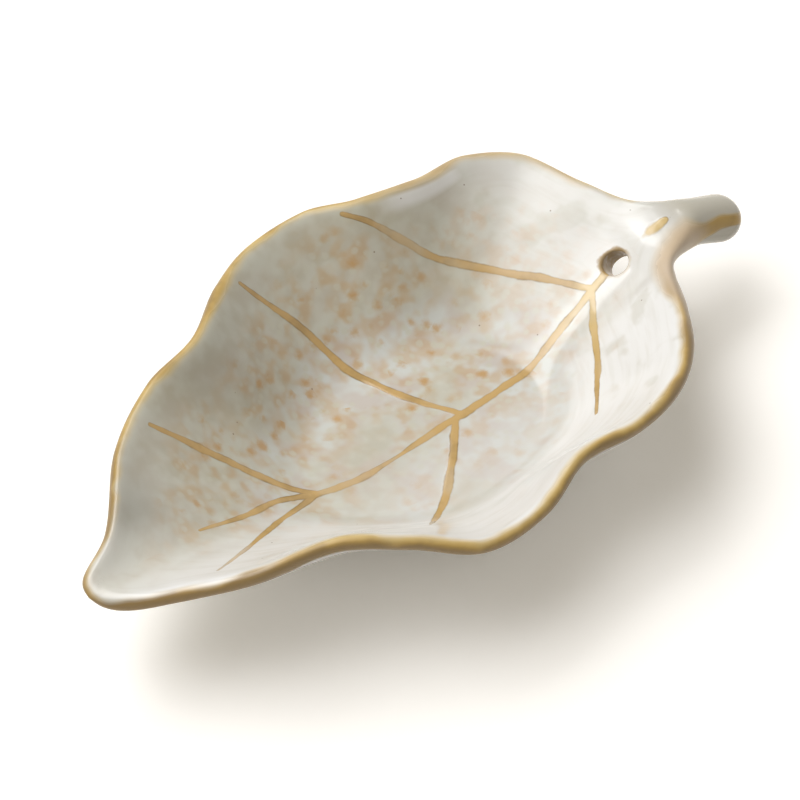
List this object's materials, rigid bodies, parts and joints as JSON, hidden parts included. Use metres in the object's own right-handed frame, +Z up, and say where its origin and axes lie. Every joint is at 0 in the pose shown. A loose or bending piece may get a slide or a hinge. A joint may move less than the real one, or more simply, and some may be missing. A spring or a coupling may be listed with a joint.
{
  "type": "incense holder",
  "caption": "Leaf-shaped glazed stoneware incense holder: a wavy-rimmed dish with raised veins, a short stem and a slanted hole that holds an incense stick over the dish.",
  "frame": {"origin": "on the table, under the middle of the whole holder's box", "axes": "+X from the tip of the leaf to its stem, +Y to the leaf's left side, +Z up"},
  "size_m": [0.1364, 0.0764, 0.0253],
  "materials": {
    "glaze": "glossy white glaze breaking to honey tan on edges and veins",
    "stem_glaze": "glossy grey-white glaze breaking to honey tan",
    "bare_clay": "bare fired stoneware"
  },
  "bodies": {
    "root": {"leaf_dish": "glaze", "stem": "stem_glaze", "foot_ring": "bare_clay"}
  },
  "joints": []
}
